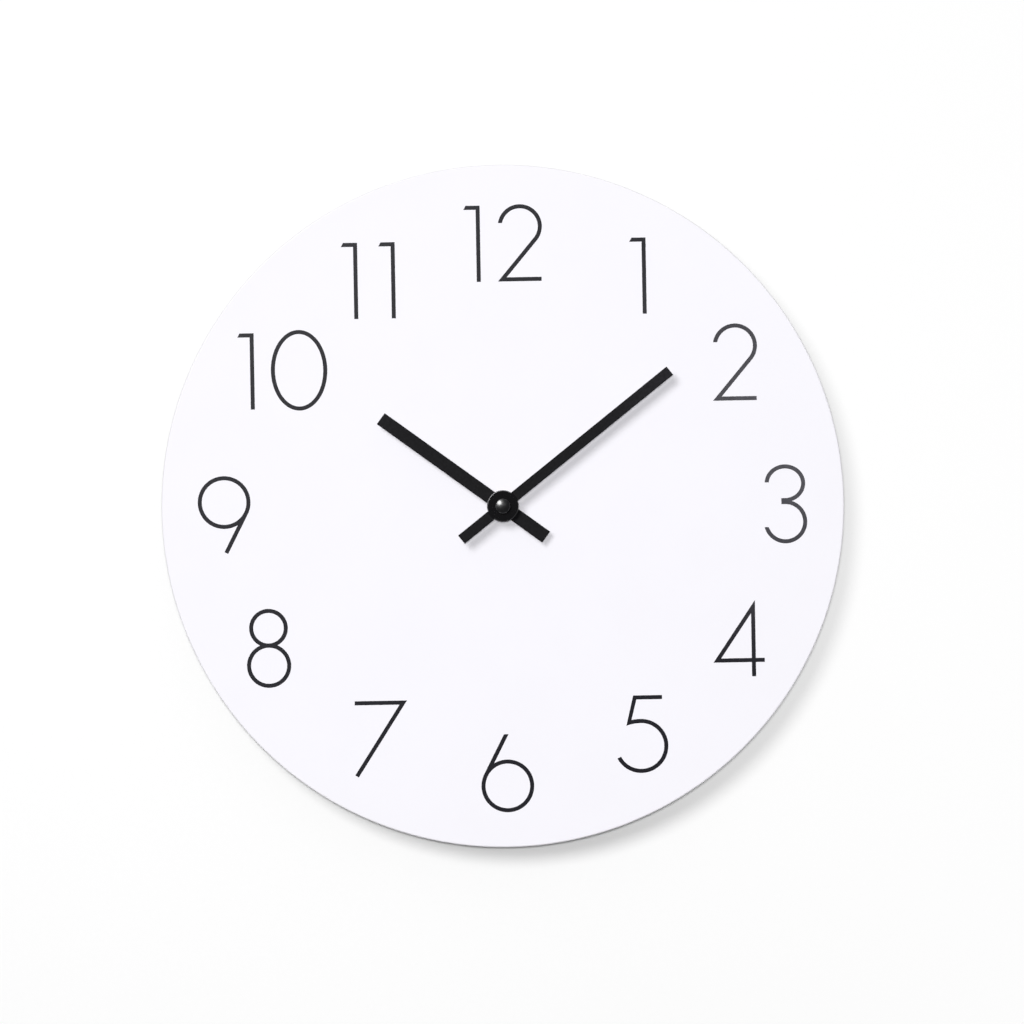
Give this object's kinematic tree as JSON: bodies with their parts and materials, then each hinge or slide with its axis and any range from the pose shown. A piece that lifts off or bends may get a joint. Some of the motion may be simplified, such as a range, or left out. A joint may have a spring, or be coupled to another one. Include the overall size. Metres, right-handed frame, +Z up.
{
  "type": "wall clock",
  "caption": "Round frameless wall clock: a white board with thin printed numerals and flat black hands, carried by a boxed quartz movement with a hanger behind it.",
  "frame": {"origin": "on the wall plane, where the axis of the hands meets it", "axes": "+X to the right as the dial is read, +Z up, +Y into the wall, so the dial faces -Y"},
  "size_m": [0.3, 0.0316, 0.3],
  "materials": {
    "white_board": "white laminate over fibreboard, satin",
    "white_film": "satin white printed film",
    "ink_black": "dark printing ink",
    "hand_black": "fine black powder coat over aluminium",
    "nut_black": "glossy black coating",
    "brass": "turned brass",
    "plated_steel": "zinc plated",
    "rubber": "soft black rubber",
    "case_black": "moulded, fine texture",
    "plate_grey": "moulded grey plastic",
    "wheel_white": "natural acetal",
    "wheel_amber": "amber acetal",
    "arbor_white": "natural acetal",
    "magnet": "sintered ferrite",
    "knob_grey": "moulded grey plastic",
    "core_steel": "stamped electrical steel",
    "bobbin_black": "moulded black plastic",
    "copper": "enamelled copper wire",
    "screw_steel": "zinc plated",
    "circuit_green": "solder mask over laminate",
    "crystal_can": "tinned metal can",
    "resin_black": "cured resin",
    "contact_nickel": "nickel plated spring steel",
    "cell_can": "plated can",
    "cell_sleeve": "printed plastic sleeve, no lettering"
  },
  "bodies": {
    "clock_body": {"dial_board": "white_board", "dial_face_film": "white_film", "dial_washer": "plated_steel", "dial_nut": "brass", "rubber_washer": "rubber", "centre_bush": "brass", "hanger_plate": "plated_steel", "movement_front_case": "case_black", "movement_rear_case": "case_black", "middle_plate": "plate_grey", "train_bridge": "plate_grey", "stator": "core_steel", "coil_core": "core_steel", "coil_bobbin": "bobbin_black", "coil_winding": "copper", "stator_screws": "screw_steel", "circuit_board": "circuit_green", "quartz_crystal": "crystal_can", "chip_drop": "resin_black", "battery_contact_positive": "contact_nickel", "battery_contact_negative": "contact_nickel", "numeral_01": "ink_black", "numeral_02": "ink_black", "numeral_03": "ink_black", "numeral_04": "ink_black", "numeral_05": "ink_black", "numeral_06": "ink_black", "numeral_07": "ink_black", "numeral_08": "ink_black", "numeral_09": "ink_black", "numeral_10": "ink_black", "numeral_11": "ink_black", "numeral_12": "ink_black"},
    "rotor": {"rotor_pinion": "wheel_white", "rotor_magnet": "magnet"},
    "intermediate": {"intermediate_wheel": "wheel_white"},
    "seconds": {"seconds_wheel": "wheel_white"},
    "third": {"third_wheel": "wheel_white"},
    "centre": {"centre_wheel": "wheel_amber"},
    "minute_hand_group": {"minute_arbor": "arbor_white", "minute_hand": "hand_black", "cap_nut": "nut_black"},
    "transfer": {"transfer_wheel": "wheel_white"},
    "hour_hand_group": {"hour_wheel": "wheel_amber", "hour_hand_collet": "hand_black", "hour_hand": "hand_black"},
    "knob": {"setting_knob": "knob_grey"},
    "battery": {"battery_can": "cell_can", "battery_sleeve": "cell_sleeve"}
  },
  "joints": [
    {"name": "seconds_spin", "type": "hinge", "parent": "clock_body", "child": "seconds", "pos_m": [0, -0.00615, 0], "axis": [0, 1, 0], "continuous": true},
    {"name": "rotor_spin", "type": "hinge", "parent": "clock_body", "child": "rotor", "pos_m": [-0.00478, -0.0071, 0.01481], "axis": [0, 1, 0], "continuous": true},
    {"name": "intermediate_spin", "type": "hinge", "parent": "clock_body", "child": "intermediate", "pos_m": [0.0028, -0.0047, 0.01043], "axis": [0, 1, 0], "continuous": true},
    {"name": "third_spin", "type": "hinge", "parent": "clock_body", "child": "third", "pos_m": [-0.01152, -0.0081, 0], "axis": [0, 1, 0], "continuous": true},
    {"name": "centre_spin", "type": "hinge", "parent": "clock_body", "child": "centre", "pos_m": [0, -0.0104, 0], "axis": [0, 1, 0], "continuous": true},
    {"name": "minute_hand_turn", "type": "hinge", "parent": "clock_body", "child": "minute_hand_group", "pos_m": [0, -0.0287, 0], "axis": [0, 1, 0], "continuous": true},
    {"name": "transfer_spin", "type": "hinge", "parent": "clock_body", "child": "transfer", "pos_m": [0.00504, -0.0119, 0.00873], "axis": [0, 1, 0], "continuous": true},
    {"name": "hour_hand_turn", "type": "hinge", "parent": "clock_body", "child": "hour_hand_group", "pos_m": [0, -0.0249, 0], "axis": [0, 1, 0], "continuous": true},
    {"name": "knob_turn", "type": "hinge", "parent": "clock_body", "child": "knob", "pos_m": [0.01377, -0.00155, 0.01377], "axis": [0, 1, 0], "continuous": true},
    {"name": "battery_slide", "type": "slide", "parent": "clock_body", "child": "battery", "axis": [0, 1, 0], "range_m": [0, 0.02]}
  ],
  "couplings": [
    {"joint": "rotor_spin", "follows": "seconds_spin", "ratio": 30},
    {"joint": "intermediate_spin", "follows": "seconds_spin", "ratio": -5},
    {"joint": "third_spin", "follows": "seconds_spin", "ratio": -0.125},
    {"joint": "centre_spin", "follows": "seconds_spin", "ratio": 0.016667},
    {"joint": "transfer_spin", "follows": "minute_hand_turn", "ratio": -0.33333},
    {"joint": "hour_hand_turn", "follows": "minute_hand_turn", "ratio": 0.083333},
    {"joint": "knob_turn", "follows": "minute_hand_turn", "ratio": 1}
  ]
}
